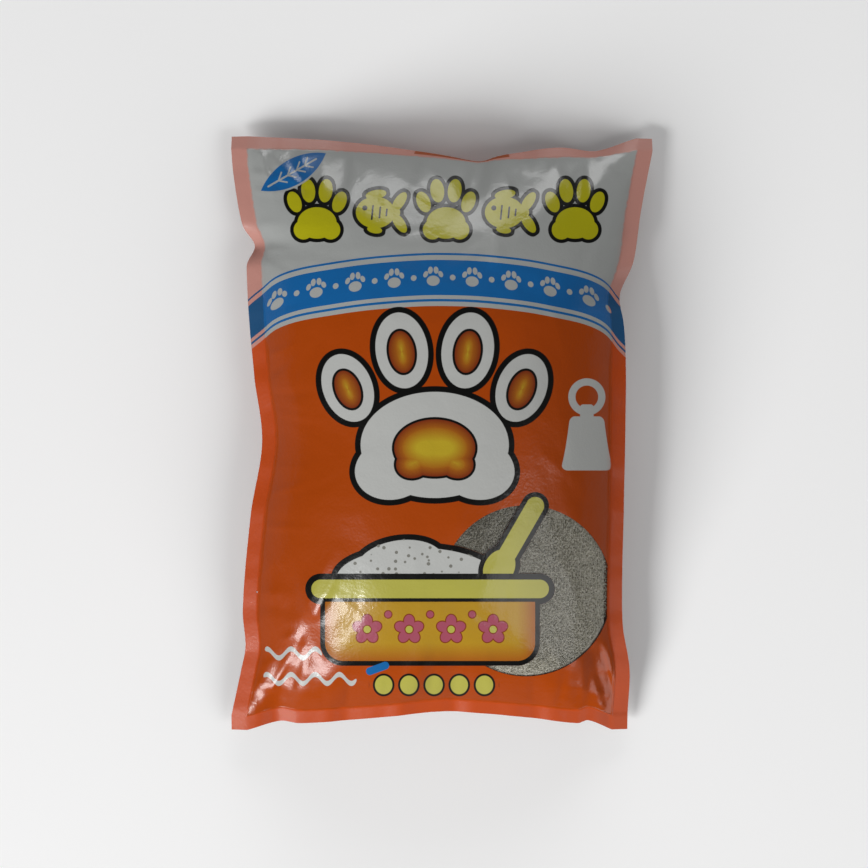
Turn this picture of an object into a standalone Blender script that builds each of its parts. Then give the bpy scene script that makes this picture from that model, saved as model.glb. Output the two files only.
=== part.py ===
"""A filled cat litter bag: a heat-sealed pouch of printed film that lies on its back, full of clay granules.

Metres, +Z up. X runs across the bag, Y from its foot to its top, and the printed front faces up. The origin
is on the surface that the bag lies on, under the middle of its box.
"""

import math

import bpy
from mathutils import Vector

# The pouch as it is cut and welded, before it is filled
POUCH_WIDTH = 0.290
POUCH_LENGTH = 0.410
SIDE_SEAL = 0.011
END_SEAL = 0.010
FILM_THICKNESS = 0.00015

# How far filling draws the corners of the welded frame in from the flat pouch
CORNER_DRAW_SIDE = 0.0030
CORNER_DRAW_END = 0.0045
FOOT_RIGHT_DRAW = 0.0165

# How high the welded seam stands over the floor, and how far the two films bulge from it
SEAM_HEIGHT_CORNER = 0.016
SEAM_HEIGHT_SIDE = 0.040
SEAM_HEIGHT_END = 0.027
FRONT_BULGE = 0.044
BACK_BULGE = 0.092
FLOOR_ROUNDING = 0.012

# How square the bulge is across and along the bag: a higher power is flatter on top and steeper at the seam
ACROSS_POWER = 2.7
ACROSS_STEEPNESS = 0.78
ALONG_POWER = 3.9
ALONG_STEEPNESS = 0.85

# Granules
LITTER_CLEARANCE = 0.0003

# Needle vents: one through the front film, one through the left weld, both at the same height
VENT_DIAMETER = 0.0012
VENT_FROM_FOOT_SEAM = 0.079
VENT_FROM_LEFT_SEAM = 0.045
VENT_SIDES = 8
VENT_CELL_MARGIN = 0.2

# Cells of the mesh between the seams, and how much closer together they lie beside the seams
CELLS_ACROSS = 24
CELLS_ALONG = 34
CELLS_CROWDING = 0.5

# The seam between weld and pouch, as (place along the edge, how far it is drawn in from a straight line).
# Sides run from the foot to the top, ends from left to right.
LEFT_SEAM = (
    (0, 0), (0.083, 0.0070), (0.125, 0.0100), (0.19, 0.0083), (0.36, 0.0140), (0.483, 0.0213),
    (0.60, 0.0160), (0.79, 0.0108), (0.828, 0.0130), (0.862, 0.0080), (0.957, 0.0016), (1, 0),
)
RIGHT_SEAM = (
    (0, 0), (0.084, 0.0005), (0.168, 0.0068), (0.36, 0.0094), (0.57, 0.0118), (0.69, 0.0134),
    (0.742, 0.0160), (0.806, 0.0098), (0.89, 0.0066), (1, 0),
)
FOOT_SEAM = (
    (0, 0), (0.091, 0.0060), (0.144, 0.0046), (0.254, 0.0060), (0.36, 0.0083), (0.53, 0.0122),
    (0.66, 0.0108), (0.795, 0.0076), (0.905, 0.0046), (0.935, 0.0066), (1, 0),
)
TOP_SEAM = (
    (0, 0), (0.23, 0.0022), (0.40, 0.0056), (0.51, 0.0080), (0.595, 0.0100), (0.64, 0.0086),
    (0.80, 0.0066), (0.90, 0.0058), (1, 0.0012),
)

# How far the welded strip outside each seam hangs down from the level, as (place along the edge, degrees)
LEFT_LEAN = ((0, 16), (0.3, 24), (0.55, 28), (0.79, 24), (0.83, 48), (0.87, 20), (1, 14))
RIGHT_LEAN = ((0, 14), (0.3, 26), (0.6, 24), (0.742, 42), (0.80, 22), (1, 12))
FOOT_LEAN = ((0, 14), (0.2, 24), (0.5, 30), (0.8, 24), (1, 14))
TOP_LEAN = (
    (0, 28), (0.23, 43), (0.39, 58), (0.51, 72), (0.60, 80), (0.66, 66), (0.80, 43), (0.90, 60), (1, 30),
)

# Folds in the front film: where each starts and ends, as shares of the half width and half length between the
# seams, then how deep it is (a ridge is negative) and how wide to each side, in metres
FRONT_FOLDS = (
    ((-0.55, -0.42), (-0.78, -0.72), -0.0030, 0.0100),
    ((-0.86, -0.50), (-0.66, -0.80), 0.0028, 0.0090),
    ((-0.06, -0.76), (-0.16, -0.99), -0.0030, 0.0090),
    ((0.12, -0.80), (0.14, -1.00), 0.0026, 0.0080),
    ((-0.40, -0.84), (-0.46, -1.00), 0.0026, 0.0080),
    ((-0.80, -0.86), (-0.84, -1.00), 0.0024, 0.0080),
    ((0.84, -0.66), (1.00, -0.98), 0.0040, 0.0080),
    ((0.74, -0.44), (0.86, -0.70), -0.0024, 0.0100),
    ((0.52, -0.86), (0.58, -1.00), 0.0022, 0.0080),
    ((0.10, 0.74), (0.20, 1.00), 0.0036, 0.0090),
    ((-0.12, 0.80), (-0.04, 1.00), -0.0022, 0.0090),
    ((0.46, 0.82), (0.42, 1.00), 0.0026, 0.0080),
    ((-0.50, 0.84), (-0.52, 1.00), 0.0024, 0.0085),
    ((0.74, 0.84), (0.78, 1.00), 0.0024, 0.0080),
    ((-0.74, 0.60), (-1.00, 0.655), 0.0030, 0.0090),
    ((0.74, 0.42), (1.00, 0.484), 0.0034, 0.0090),
)
FOLD_LEAD = 0.20  # a fold begins this share of its run before its start, and is at full depth after
FOLD_FULL = 0.60  # this share of its run
FOLD_HOLD = 0.30  # the share of the full bulge past which a fold of the front leaves the back alone

FILM_COLOUR = (0.361, 0.053, 0.004, 1)
LITTER_COLOUR = (0.195, 0.184, 0.158, 1)


def read_curve(points, place):
    """The value at a place on the smooth curve through (place, value) points."""
    k = 1
    while k < len(points) - 1 and points[k][0] < place:
        k += 1
    (x0, y0), (x1, y1) = points[k - 1], points[k]
    before = points[k - 2] if k > 1 else points[0]
    after = points[k + 1] if k + 1 < len(points) else points[-1]
    slope0 = (y1 - before[1]) / (x1 - before[0])
    slope1 = (after[1] - y0) / (after[0] - x0)
    width = x1 - x0
    u = (place - x0) / width
    return (
        y0 * (1 + 2 * u) * (1 - u) ** 2
        + y1 * u * u * (3 - 2 * u)
        + slope0 * width * u * (1 - u) ** 2
        - slope1 * width * u * u * (1 - u)
    )


def frame_corner(side, end):
    """A corner of the welded frame in plan, for side and end of -1 or 1."""
    x = POUCH_WIDTH / 2 - SIDE_SEAL - CORNER_DRAW_SIDE
    y = POUCH_LENGTH / 2 - END_SEAL - CORNER_DRAW_END
    if side > 0 > end:
        x -= FOOT_RIGHT_DRAW
    return Vector((side * x, end * y))


def in_plan(s, t):
    """The plan place of a point between the seams, with s across and t along from -1 to 1."""
    a, b = (s + 1) / 2, (t + 1) / 2
    foot_left, foot_right = frame_corner(-1, -1), frame_corner(1, -1)
    top_left, top_right = frame_corner(-1, 1), frame_corner(1, 1)
    left = foot_left.lerp(top_left, b) + Vector((read_curve(LEFT_SEAM, b), 0))
    right = foot_right.lerp(top_right, b) - Vector((read_curve(RIGHT_SEAM, b), 0))
    foot = foot_left.lerp(foot_right, a) + Vector((0, read_curve(FOOT_SEAM, a)))
    top = top_left.lerp(top_right, a) - Vector((0, read_curve(TOP_SEAM, a)))
    corners = foot_left.lerp(foot_right, a).lerp(top_left.lerp(top_right, a), b)
    return left.lerp(right, a) + foot.lerp(top, b) - corners


def fullness(s, t):
    """The share of the full bulge at a point: 0 on the seams and 1 in the middle."""
    across = max(0.0, 1 - abs(s) ** ACROSS_POWER) ** ACROSS_STEEPNESS
    along = max(0.0, 1 - abs(t) ** ALONG_POWER) ** ALONG_STEEPNESS
    return across * along


def seam_height(s, t):
    """The height of the surface that the welded frame spans."""
    side = (SEAM_HEIGHT_SIDE - SEAM_HEIGHT_CORNER) * (1 - t * t)
    end = (SEAM_HEIGHT_END - SEAM_HEIGHT_CORNER) * (1 - s * s)
    return SEAM_HEIGHT_CORNER + side + end


def fold_depth(place):
    """How far the folds push the front film down at a plan place."""
    depth = 0.0
    for start, end, deepest, reach in FRONT_FOLDS:
        a, b = in_plan(*start), in_plan(*end)
        run = b - a
        share = (place - a).dot(run) / run.length_squared
        off = (place - a - run * min(1.0, max(0.0, share))).length
        rise = min(1.0, max(0.0, share + FOLD_LEAD) / (FOLD_LEAD + FOLD_FULL))
        depth += deepest * rise * math.exp(-((off / reach) ** 2))
    return depth


def above_floor(height):
    """A height of the back film, flattened where the bag's weight presses it on the floor."""
    near = max(0.0, 1 - abs(height - FILM_THICKNESS) / FLOOR_ROUNDING)
    return max(height, FILM_THICKNESS) + near * near * FLOOR_ROUNDING / 4


def inner_faces(s, t):
    """The inside of the front film and of the back film at a point between the seams."""
    plan = in_plan(s, t)
    full = fullness(s, t)
    seam = seam_height(s, t)
    fold = fold_depth(plan)
    shared = fold * max(0.0, 1 - full / FOLD_HOLD)
    front = seam + FRONT_BULGE * full - fold
    back = above_floor(seam - BACK_BULGE * full - shared)
    if full == 0:
        front = back
    return Vector((*plan, front)), Vector((*plan, back))


def strip_offset(s, t, side, end):
    """From the seam to the cut edge of the welded strip, across for side and along for end of -1, 0 or 1."""
    a, b = (s + 1) / 2, (t + 1) / 2
    offset = Vector((0, 0, 0))
    if side:
        lean = math.radians(read_curve(LEFT_LEAN if side < 0 else RIGHT_LEAN, b))
        offset += SIDE_SEAL * Vector((side * math.cos(lean), 0, -math.sin(lean)))
    if end:
        lean = math.radians(read_curve(FOOT_LEAN if end < 0 else TOP_LEAN, a))
        offset += END_SEAL * Vector((0, end * math.cos(lean), -math.sin(lean)))
    return offset


def spread(cells):
    """Places from -1 to 1 that lie closer together beside the seams."""
    even = [2 * k / cells - 1 for k in range(cells + 1)]
    return [
        (1 - CELLS_CROWDING) * e + CELLS_CROWDING * math.sin(math.pi / 2 * e)
        for e in even
    ]


ACROSS = spread(CELLS_ACROSS)
ALONG = spread(CELLS_ALONG)
LAST_I = CELLS_ACROSS + 2  # the strip adds one line of points outside each seam
LAST_J = CELLS_ALONG + 2


def film_grids():
    """The insides of both films as grids of points, the welded strip included, where they are the same."""
    front, back = {}, {}
    for i in range(LAST_I + 1):
        for j in range(LAST_J + 1):
            side = -1 if i == 0 else 1 if i == LAST_I else 0
            end = -1 if j == 0 else 1 if j == LAST_J else 0
            s = ACROSS[min(CELLS_ACROSS, max(0, i - 1))]
            t = ALONG[min(CELLS_ALONG, max(0, j - 1))]
            top, bottom = inner_faces(s, t)
            offset = strip_offset(s, t, side, end)
            front[i, j] = top + offset
            back[i, j] = bottom + offset
    return front, back


def moved_out(grid, distance):
    """A grid of points moved along its upward normals."""
    moved = {}
    for i, j in grid:
        across = grid[min(i + 1, LAST_I), j] - grid[max(i - 1, 0), j]
        along = grid[i, min(j + 1, LAST_J)] - grid[i, max(j - 1, 0)]
        moved[i, j] = grid[i, j] + across.cross(along).normalized() * distance
    return moved


def centred(grids):
    """The same grids moved in plan, so that the middle of the whole box is over the origin."""
    points = [point for grid in grids for point in grid.values()]
    low = [min(point[axis] for point in points) for axis in (0, 1)]
    high = [max(point[axis] for point in points) for axis in (0, 1)]
    middle = Vector(((low[0] + high[0]) / 2, (low[1] + high[1]) / 2, 0))
    return [{at: point - middle for at, point in grid.items()} for grid in grids]


class Shell:
    """Collects the points and triangles of one closed mesh, with each point under a key."""

    def __init__(self):
        self.points = []
        self.faces = []
        self.index = {}

    def point(self, key, place):
        if key not in self.index:
            self.index[key] = len(self.points)
            self.points.append(place)
        return self.index[key]

    def triangle(self, corners, faces_up):
        self.faces.append(tuple(corners if faces_up else reversed(corners)))

    def cell(self, corners, i, j, faces_up):
        """A cell's two triangles. The diagonal follows the rounding of the bag's nearest corner."""
        c00, c10, c11, c01 = corners
        if (i < LAST_I / 2) == (j < LAST_J / 2):
            self.triangle((c00, c10, c01), faces_up)
            self.triangle((c10, c11, c01), faces_up)
        else:
            self.triangle((c00, c10, c11), faces_up)
            self.triangle((c00, c11, c01), faces_up)

    def pierced_cell(self, corners, ring, faces_up):
        """A cell with a hole in it, where corner k lies between the ring's points 2k and 2k + 2."""
        c00, c10, c11, c01 = corners
        around = (c11, c01, c00, c10)
        for k, corner in enumerate(around):
            first, middle, last = (ring[(2 * k + step) % VENT_SIDES] for step in range(3))
            self.triangle((corner, middle, first), faces_up)
            self.triangle((corner, last, middle), faces_up)
            self.triangle((corner, around[(k + 1) % 4], last), faces_up)

    def made(self, name, material):
        mesh = bpy.data.meshes.new(name)
        mesh.from_pydata(self.points, [], self.faces)
        mesh.shade_smooth()
        mesh.set_sharp_from_angle(angle=math.radians(50))
        mesh.materials.append(material)
        made = bpy.data.objects.new(name, mesh)
        bpy.context.scene.collection.objects.link(made)
        return made


def cell_corners(i, j):
    return (i, j), (i + 1, j), (i + 1, j + 1), (i, j + 1)


def vent_places():
    """For each vent, the cell that it pierces and where in the cell it lies, as shares from 0 to 1."""
    t = 2 * VENT_FROM_FOOT_SEAM / (in_plan(0, 1) - in_plan(0, -1)).length - 1
    s = 2 * VENT_FROM_LEFT_SEAM / (in_plan(1, t) - in_plan(-1, t)).length - 1
    j = max(k for k in range(CELLS_ALONG) if ALONG[k] <= t)
    i = max(k for k in range(CELLS_ACROSS) if ACROSS[k] <= s)
    along = (t - ALONG[j]) / (ALONG[j + 1] - ALONG[j])
    across = (s - ACROSS[i]) / (ACROSS[i + 1] - ACROSS[i])
    within = [min(1 - VENT_CELL_MARGIN, max(VENT_CELL_MARGIN, share)) for share in (across, along)]
    through_front = ((i + 1, j + 1), within)
    through_weld = ((0, j + 1), (0.5, within[1]))
    return through_front, through_weld


def vent_ring(grid, cell, within):
    """The points round a vent on a grid's cell."""
    p00, p10, p11, p01 = (grid[at] for at in cell_corners(*cell))
    radius = VENT_DIAMETER / 2
    ring = []
    for k in range(VENT_SIDES):
        angle = 2 * math.pi * k / VENT_SIDES
        u = within[0] + radius * math.cos(angle) / (p10 - p00).length
        v = within[1] + radius * math.sin(angle) / (p01 - p00).length
        ring.append(p00.lerp(p10, u).lerp(p01.lerp(p11, u), v))
    return ring


def point_key(layer, at):
    """The insides of the two films share their points on the seam."""
    on_seam = at[0] in (1, LAST_I - 1) or at[1] in (1, LAST_J - 1)
    return ("seam" if on_seam and layer.endswith("inside") else layer, at)


def add_layer(shell, name, grid, cells, faces_up):
    for i, j in cells:
        corners = [shell.point(point_key(name, at), grid[at]) for at in cell_corners(i, j)]
        shell.cell(corners, i, j, faces_up)


def add_rim(shell, upper, lower, first, last):
    """The narrow side that joins two layers round the edge of their grids."""
    edge = [(i, first[1]) for i in range(first[0], last[0])]
    edge += [(last[0], j) for j in range(first[1], last[1])]
    edge += [(i, last[1]) for i in range(last[0], first[0], -1)]
    edge += [(first[0], j) for j in range(last[1], first[1], -1)]
    for at, after in zip(edge, edge[1:] + edge[:1]):
        top, top_after = shell.index[upper, at], shell.index[upper, after]
        low, low_after = shell.index[lower, at], shell.index[lower, after]
        shell.triangle((low, low_after, top_after), True)
        shell.triangle((low, top_after, top), True)


def add_vent(shell, layers, cell, within):
    """A vent through two layers, each given as (name, grid, whether its faces point up)."""
    rings = []
    for name, grid, faces_up in layers:
        corners = [shell.point(point_key(name, at), grid[at]) for at in cell_corners(*cell)]
        places = vent_ring(grid, cell, within)
        ring = [shell.point((name, cell, k), place) for k, place in enumerate(places)]
        shell.pierced_cell(corners, ring, faces_up)
        rings.append(ring)
    upper, lower = rings
    for k in range(VENT_SIDES):
        after = (k + 1) % VENT_SIDES
        shell.triangle((upper[k], upper[after], lower[after]), True)
        shell.triangle((upper[k], lower[after], lower[k]), True)


def film_bag(front, back, front_skin, back_skin, material):
    """The two films, welded flat round the edge and hollow between the seams."""
    shell = Shell()
    front_vent, weld_vent = vent_places()
    whole = {(i, j) for i in range(LAST_I) for j in range(LAST_J)}
    hollow = {(i, j) for i in range(1, LAST_I - 1) for j in range(1, LAST_J - 1)}
    in_front, in_weld = {front_vent[0]}, {weld_vent[0]}
    add_layer(shell, "front skin", front_skin, sorted(whole - in_front - in_weld), True)
    add_layer(shell, "back skin", back_skin, sorted(whole - in_weld), False)
    add_layer(shell, "front inside", front, sorted(hollow - in_front), False)
    add_layer(shell, "back inside", back, sorted(hollow), True)
    add_rim(shell, "front skin", "back skin", (0, 0), (LAST_I, LAST_J))
    add_vent(
        shell,
        (("front skin", front_skin, True), ("front inside", front, False)),
        *front_vent,
    )
    add_vent(
        shell,
        (("front skin", front_skin, True), ("back skin", back_skin, False)),
        *weld_vent,
    )
    return shell.made("film_bag", material)


def litter_fill(top, underside, material):
    """The granules as one solid, a clearance inside the films, from the first points past the seams."""
    shell = Shell()
    cells = [(i, j) for i in range(2, LAST_I - 2) for j in range(2, LAST_J - 2)]
    add_layer(shell, "top", top, cells, True)
    add_layer(shell, "underside", underside, cells, False)
    add_rim(shell, "top", "underside", (2, 2), (LAST_I - 2, LAST_J - 2))
    return shell.made("litter_fill", material)


def plain_material(name, colour, roughness):
    material = bpy.data.materials.new(name)
    material.use_nodes = True
    surface = material.node_tree.nodes["Principled BSDF"]
    surface.inputs["Base Color"].default_value = colour
    surface.inputs["Roughness"].default_value = roughness
    surface.inputs["Metallic"].default_value = 0
    return material


for old in list(bpy.data.objects):
    bpy.data.objects.remove(old)

front, back = film_grids()
front_skin, back_skin = moved_out(front, FILM_THICKNESS), moved_out(back, -FILM_THICKNESS)
litter_top, litter_under = moved_out(front, -LITTER_CLEARANCE), moved_out(back, LITTER_CLEARANCE)
front_skin, back_skin, front, back, litter_top, litter_under = centred(
    [front_skin, back_skin, front, back, litter_top, litter_under]
)
film_bag(front, back, front_skin, back_skin, plain_material("printed_film", FILM_COLOUR, 0.32))
litter_fill(litter_top, litter_under, plain_material("clay_granules", LITTER_COLOUR, 0.9))
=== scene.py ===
"""A filled cat litter bag on a pale floor, seen from straight above: a pouch of printed film with a clear
window, and the clay granules inside it. Metres, +Z up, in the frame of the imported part."""

import math

import bpy
import numpy as np
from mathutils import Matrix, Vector


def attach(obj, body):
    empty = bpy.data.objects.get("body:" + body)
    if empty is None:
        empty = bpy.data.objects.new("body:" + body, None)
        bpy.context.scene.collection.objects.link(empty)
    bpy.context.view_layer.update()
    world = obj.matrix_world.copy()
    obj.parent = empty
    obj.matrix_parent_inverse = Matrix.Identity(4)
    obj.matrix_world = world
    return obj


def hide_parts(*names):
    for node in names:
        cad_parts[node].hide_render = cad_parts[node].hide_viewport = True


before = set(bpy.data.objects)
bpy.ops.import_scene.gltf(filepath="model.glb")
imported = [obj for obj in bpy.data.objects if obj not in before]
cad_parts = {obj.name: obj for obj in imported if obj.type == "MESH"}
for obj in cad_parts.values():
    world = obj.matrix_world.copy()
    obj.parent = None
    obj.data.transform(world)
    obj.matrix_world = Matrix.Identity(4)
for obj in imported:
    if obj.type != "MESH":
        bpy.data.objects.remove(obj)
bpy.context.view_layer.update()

# Film pouch: a front and a back sheet of printed polyethylene film, welded flat to each other along all four
# edges. The litter pushes the sheets apart, which draws the edges in and puckers the film beside the welds.

MM = 0.001

POUCH_WIDTH = 0.290
POUCH_LENGTH = 0.410
SIDE_SEAL = 0.011
END_SEAL = 0.010
FILM_THICKNESS = 0.00015
CORNER_DRAW_SIDE = 0.0030
CORNER_DRAW_END = 0.0045
FOOT_RIGHT_DRAW = 0.0165

SEAM_HEIGHT_CORNER = 0.016
SEAM_HEIGHT_SIDE = 0.040
SEAM_HEIGHT_END = 0.027
FRONT_BULGE = 0.044
BACK_BULGE = 0.092
FLOOR_ROUNDING = 0.012
ACROSS_POWER = 2.7
ACROSS_STEEPNESS = 0.78
ALONG_POWER = 3.9
ALONG_STEEPNESS = 0.85

# How far each seam is drawn in from a straight line, as (place along the edge, metres)
LEFT_SEAM = (
    (0, 0), (0.083, 0.0070), (0.125, 0.0100), (0.19, 0.0083), (0.36, 0.0140), (0.483, 0.0213),
    (0.60, 0.0160), (0.79, 0.0108), (0.828, 0.0130), (0.862, 0.0080), (0.957, 0.0016), (1, 0),
)
RIGHT_SEAM = (
    (0, 0), (0.084, 0.0005), (0.168, 0.0068), (0.36, 0.0094), (0.57, 0.0118), (0.69, 0.0134),
    (0.742, 0.0160), (0.806, 0.0098), (0.89, 0.0066), (1, 0),
)
FOOT_SEAM = (
    (0, 0), (0.091, 0.0060), (0.144, 0.0046), (0.254, 0.0060), (0.36, 0.0083), (0.53, 0.0122),
    (0.66, 0.0108), (0.795, 0.0076), (0.905, 0.0046), (0.935, 0.0066), (1, 0),
)
TOP_SEAM = (
    (0, 0), (0.23, 0.0022), (0.40, 0.0056), (0.51, 0.0080), (0.595, 0.0100), (0.64, 0.0086),
    (0.80, 0.0066), (0.90, 0.0058), (1, 0.0012),
)

# How far the welded strip hangs down from the level, as (place along the edge, degrees)
LEFT_LEAN = ((0, 16), (0.3, 24), (0.55, 28), (0.79, 24), (0.83, 48), (0.87, 20), (1, 14))
RIGHT_LEAN = ((0, 14), (0.3, 26), (0.6, 24), (0.742, 42), (0.80, 22), (1, 12))
FOOT_LEAN = ((0, 14), (0.2, 24), (0.5, 30), (0.8, 24), (1, 14))
TOP_LEAN = (
    (0, 28), (0.23, 43), (0.39, 58), (0.51, 72), (0.60, 80), (0.66, 66), (0.80, 43), (0.90, 60), (1, 30),
)

# Deep folds: start and end as shares of the half width and half length, depth (a ridge is negative), reach
FRONT_FOLDS = (
    ((-0.55, -0.42), (-0.78, -0.72), -0.0030, 0.0100),
    ((-0.86, -0.50), (-0.66, -0.80), 0.0028, 0.0090),
    ((-0.06, -0.76), (-0.16, -0.99), -0.0030, 0.0090),
    ((0.12, -0.80), (0.14, -1.00), 0.0026, 0.0080),
    ((-0.40, -0.84), (-0.46, -1.00), 0.0026, 0.0080),
    ((-0.80, -0.86), (-0.84, -1.00), 0.0024, 0.0080),
    ((0.84, -0.66), (1.00, -0.98), 0.0040, 0.0080),
    ((0.74, -0.44), (0.86, -0.70), -0.0024, 0.0100),
    ((0.52, -0.86), (0.58, -1.00), 0.0022, 0.0080),
    ((0.10, 0.74), (0.20, 1.00), 0.0036, 0.0090),
    ((-0.12, 0.80), (-0.04, 1.00), -0.0022, 0.0090),
    ((0.46, 0.82), (0.42, 1.00), 0.0026, 0.0080),
    ((-0.50, 0.84), (-0.52, 1.00), 0.0024, 0.0085),
    ((0.74, 0.84), (0.78, 1.00), 0.0024, 0.0080),
    ((-0.74, 0.60), (-1.00, 0.655), 0.0030, 0.0090),
    ((0.74, 0.42), (1.00, 0.484), 0.0034, 0.0090),
)
FOLD_LEAD = 0.20
FOLD_FULL = 0.60
FOLD_HOLD = 0.30

# Small sharp creases in the film: x y at the start, x y at the end, depth and reach, all in millimetres
CREASES = (
    (-64, -84, -83, -119, -0.9, 3.0),
    (-98, -134, -104, -137, -0.8, 2.2),
    (-94, -136, -113, -171, -0.9, 2.6),
    (-88, -132, -100, -170, 0.7, 2.6),
    (-10, -140, -18, -171, -1.0, 3.4),
    (-4, -146, -8, -172, 0.8, 2.8),
    (14, -150, 12, -176, -0.7, 2.6),
    (85, -84, 100, -138, -0.9, 4.0),
    (102, -136, 121, -188, 1.3, 2.6),
    (96, -146, 107, -184, -0.9, 3.0),
    (-12, 178, 2, 166, -0.8, 2.6),
    (38, 176, 46, 158, -0.7, 2.4),
    (94, 174, 92, 150, -0.8, 2.4),
    (118, 92, 96, 98, -0.7, 2.4),
    (120, 88, 94, 80, 0.8, 2.6),
    (120, 84, 100, 66, -0.6, 2.4),
    (-128, 124, -104, 120, -0.7, 2.4),
    (-128, 121, -100, 108, 0.7, 2.6),
    (-110, 60, -96, 18, -0.4, 5.0),
    (-70, 30, -60, -20, 0.35, 7.0),
    (70, 40, 84, -10, -0.4, 6.0),
    (20, 110, 52, 96, 0.35, 6.0),
    (-40, 140, -10, 128, -0.3, 6.0),
    (-30, -100, 10, -112, 0.4, 7.0),
    (100, -122, 113, -129, 1.2, 3.0),
    (-116, 186, -96, 166, -0.8, 2.8),
    (-104, 188, -90, 160, 0.7, 3.0),
    (-34, 172, -6, 152, -0.8, 3.4),
)

# Puckers that the welds hold. Places and lengths are shares of the half width or half length, depth and reach
# are in millimetres, and each step is the gap to the next pucker along an edge.
PUCKER_SEED = 11
PUCKER_SPAN = 0.93
PUCKER_LENGTH = (0.06, 0.24)
PUCKER_SWING = 0.06
PUCKER_DEPTH = 0.95
PUCKER_REACH = (1.8, 4.2)
SIDE_PUCKER_STEP = (0.04, 0.11)
END_PUCKER_STEP = (0.06, 0.15)
SIDE_PUCKER_STRETCH = 1.5

# Shallow dents all over the front, where the film bridges the granules. They are deeper beside the seams and
# in the header, where the film is slack.
DENTS = 210
DENT_SPAN = 0.94
DENT_HALF_LENGTH = (0.05, 0.17)
DENT_STRETCH = 1.5
DENT_DEPTH = 0.22
DENT_REACH = (2.6, 7.5)
SLACK_BESIDE_SEAMS = 1.3
SLACK_IN_HEADER = 1.1

# Waves along the seams, as lengths, heights and starts, and how far in from a seam they die out. The half
# width and half length are rounded ones, by which a share of the pouch is turned into metres.
SIDE_WAVES = ((0.041, 0.0273, 0.0147), (0.34 * MM, 0.20 * MM, 0.07 * MM), (0.1, 0.6, 0.3))
END_WAVES = ((0.047, 0.0291, 0.0153), (0.30 * MM, 0.20 * MM, 0.07 * MM), (0.4, 0.2, 0.7))
WAVE_REACH = 0.010
SMOOTH_BESIDE_SEAM = 0.004
HALF_ACROSS = 0.125
HALF_ALONG = 0.185

CELLS_ACROSS = 150
CELLS_ALONG = 212
CELLS_CROWDING = 0.45
STRIP_ROWS = 5


def read_curve(points, place):
    """The values at an array of places on the smooth curve through (place, value) points."""
    at, value = np.array(points, float).T
    slope = np.empty_like(value)
    slope[1:-1] = (value[2:] - value[:-2]) / (at[2:] - at[:-2])
    slope[0] = (value[1] - value[0]) / (at[1] - at[0])
    slope[-1] = (value[-1] - value[-2]) / (at[-1] - at[-2])
    k = np.clip(np.searchsorted(at, place), 1, len(at) - 1)
    width = at[k] - at[k - 1]
    u = (place - at[k - 1]) / width
    return (
        value[k - 1] * (1 + 2 * u) * (1 - u) ** 2
        + value[k] * u * u * (3 - 2 * u)
        + slope[k - 1] * width * u * (1 - u) ** 2
        - slope[k] * width * u * u * (1 - u)
    )


def in_plan(s, t):
    """Plan places of points between the seams, with s across and t along from -1 to 1."""
    a, b = (s + 1) / 2, (t + 1) / 2
    x = POUCH_WIDTH / 2 - SIDE_SEAL - CORNER_DRAW_SIDE
    y = POUCH_LENGTH / 2 - END_SEAL - CORNER_DRAW_END
    foot_right = x - FOOT_RIGHT_DRAW
    right_line = foot_right * (1 - b) + x * b
    plan_x = (read_curve(LEFT_SEAM, b) - x) * (1 - a) + (right_line - read_curve(RIGHT_SEAM, b)) * a
    plan_y = (read_curve(FOOT_SEAM, a) - y) * (1 - b) + (y - read_curve(TOP_SEAM, a)) * b
    return plan_x, plan_y


def pressed(x, y, start, end, depth, reach):
    """How far one fold or crease pushes the film down at plan places."""
    run = np.array(end) - np.array(start)
    share = ((x - start[0]) * run[0] + (y - start[1]) * run[1]) / run.dot(run)
    held = np.clip(share, 0, 1)
    off = np.hypot(x - start[0] - run[0] * held, y - start[1] - run[1] * held)
    rise = np.clip((share + FOLD_LEAD) / (FOLD_LEAD + FOLD_FULL), 0, 1)
    return depth * rise * np.exp(-((off / reach) ** 2))


def inner_faces(s, t):
    """The insides of the front and the back film between the seams, as x, y, front height, back height."""
    x, y = in_plan(s, t)
    across = np.clip(1 - np.abs(s) ** ACROSS_POWER, 0, 1) ** ACROSS_STEEPNESS
    along = np.clip(1 - np.abs(t) ** ALONG_POWER, 0, 1) ** ALONG_STEEPNESS
    full = across * along
    seam = SEAM_HEIGHT_CORNER + (SEAM_HEIGHT_SIDE - SEAM_HEIGHT_CORNER) * (1 - t * t)
    seam = seam + (SEAM_HEIGHT_END - SEAM_HEIGHT_CORNER) * (1 - s * s)
    fold = np.zeros_like(x)
    for start, end, depth, reach in FRONT_FOLDS:
        fold += pressed(x, y, in_plan(*np.array(start)), in_plan(*np.array(end)), depth, reach)
    back = seam - BACK_BULGE * full - fold * np.clip(1 - full / FOLD_HOLD, 0, 1)
    near = np.clip(1 - np.abs(back - FILM_THICKNESS) / FLOOR_ROUNDING, 0, 1)
    back = np.maximum(back, FILM_THICKNESS) + near * near * FLOOR_ROUNDING / 4
    front = np.where(full == 0, back, seam + FRONT_BULGE * full - fold)
    return x, y, front, back


def strip_offset(s, t, side, end):
    """From the seam to the cut edge of the welded strip, for side and end of -1, 0 or 1."""
    a, b = (s + 1) / 2, (t + 1) / 2
    side_lean = np.radians(np.where(side < 0, read_curve(LEFT_LEAN, b), read_curve(RIGHT_LEAN, b)))
    end_lean = np.radians(np.where(end < 0, read_curve(FOOT_LEAN, a), read_curve(TOP_LEAN, a)))
    x = side * SIDE_SEAL * np.cos(side_lean)
    y = end * END_SEAL * np.cos(end_lean)
    z = -np.abs(side) * SIDE_SEAL * np.sin(side_lean) - np.abs(end) * END_SEAL * np.sin(end_lean)
    return np.stack((x, y, z), -1)


def waves(place, lengths, heights, turns):
    """A sum of waves along an edge, in metres."""
    return sum(h * np.sin(2 * math.pi * (place / w + turn)) for w, h, turn in zip(lengths, heights, turns))


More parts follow.
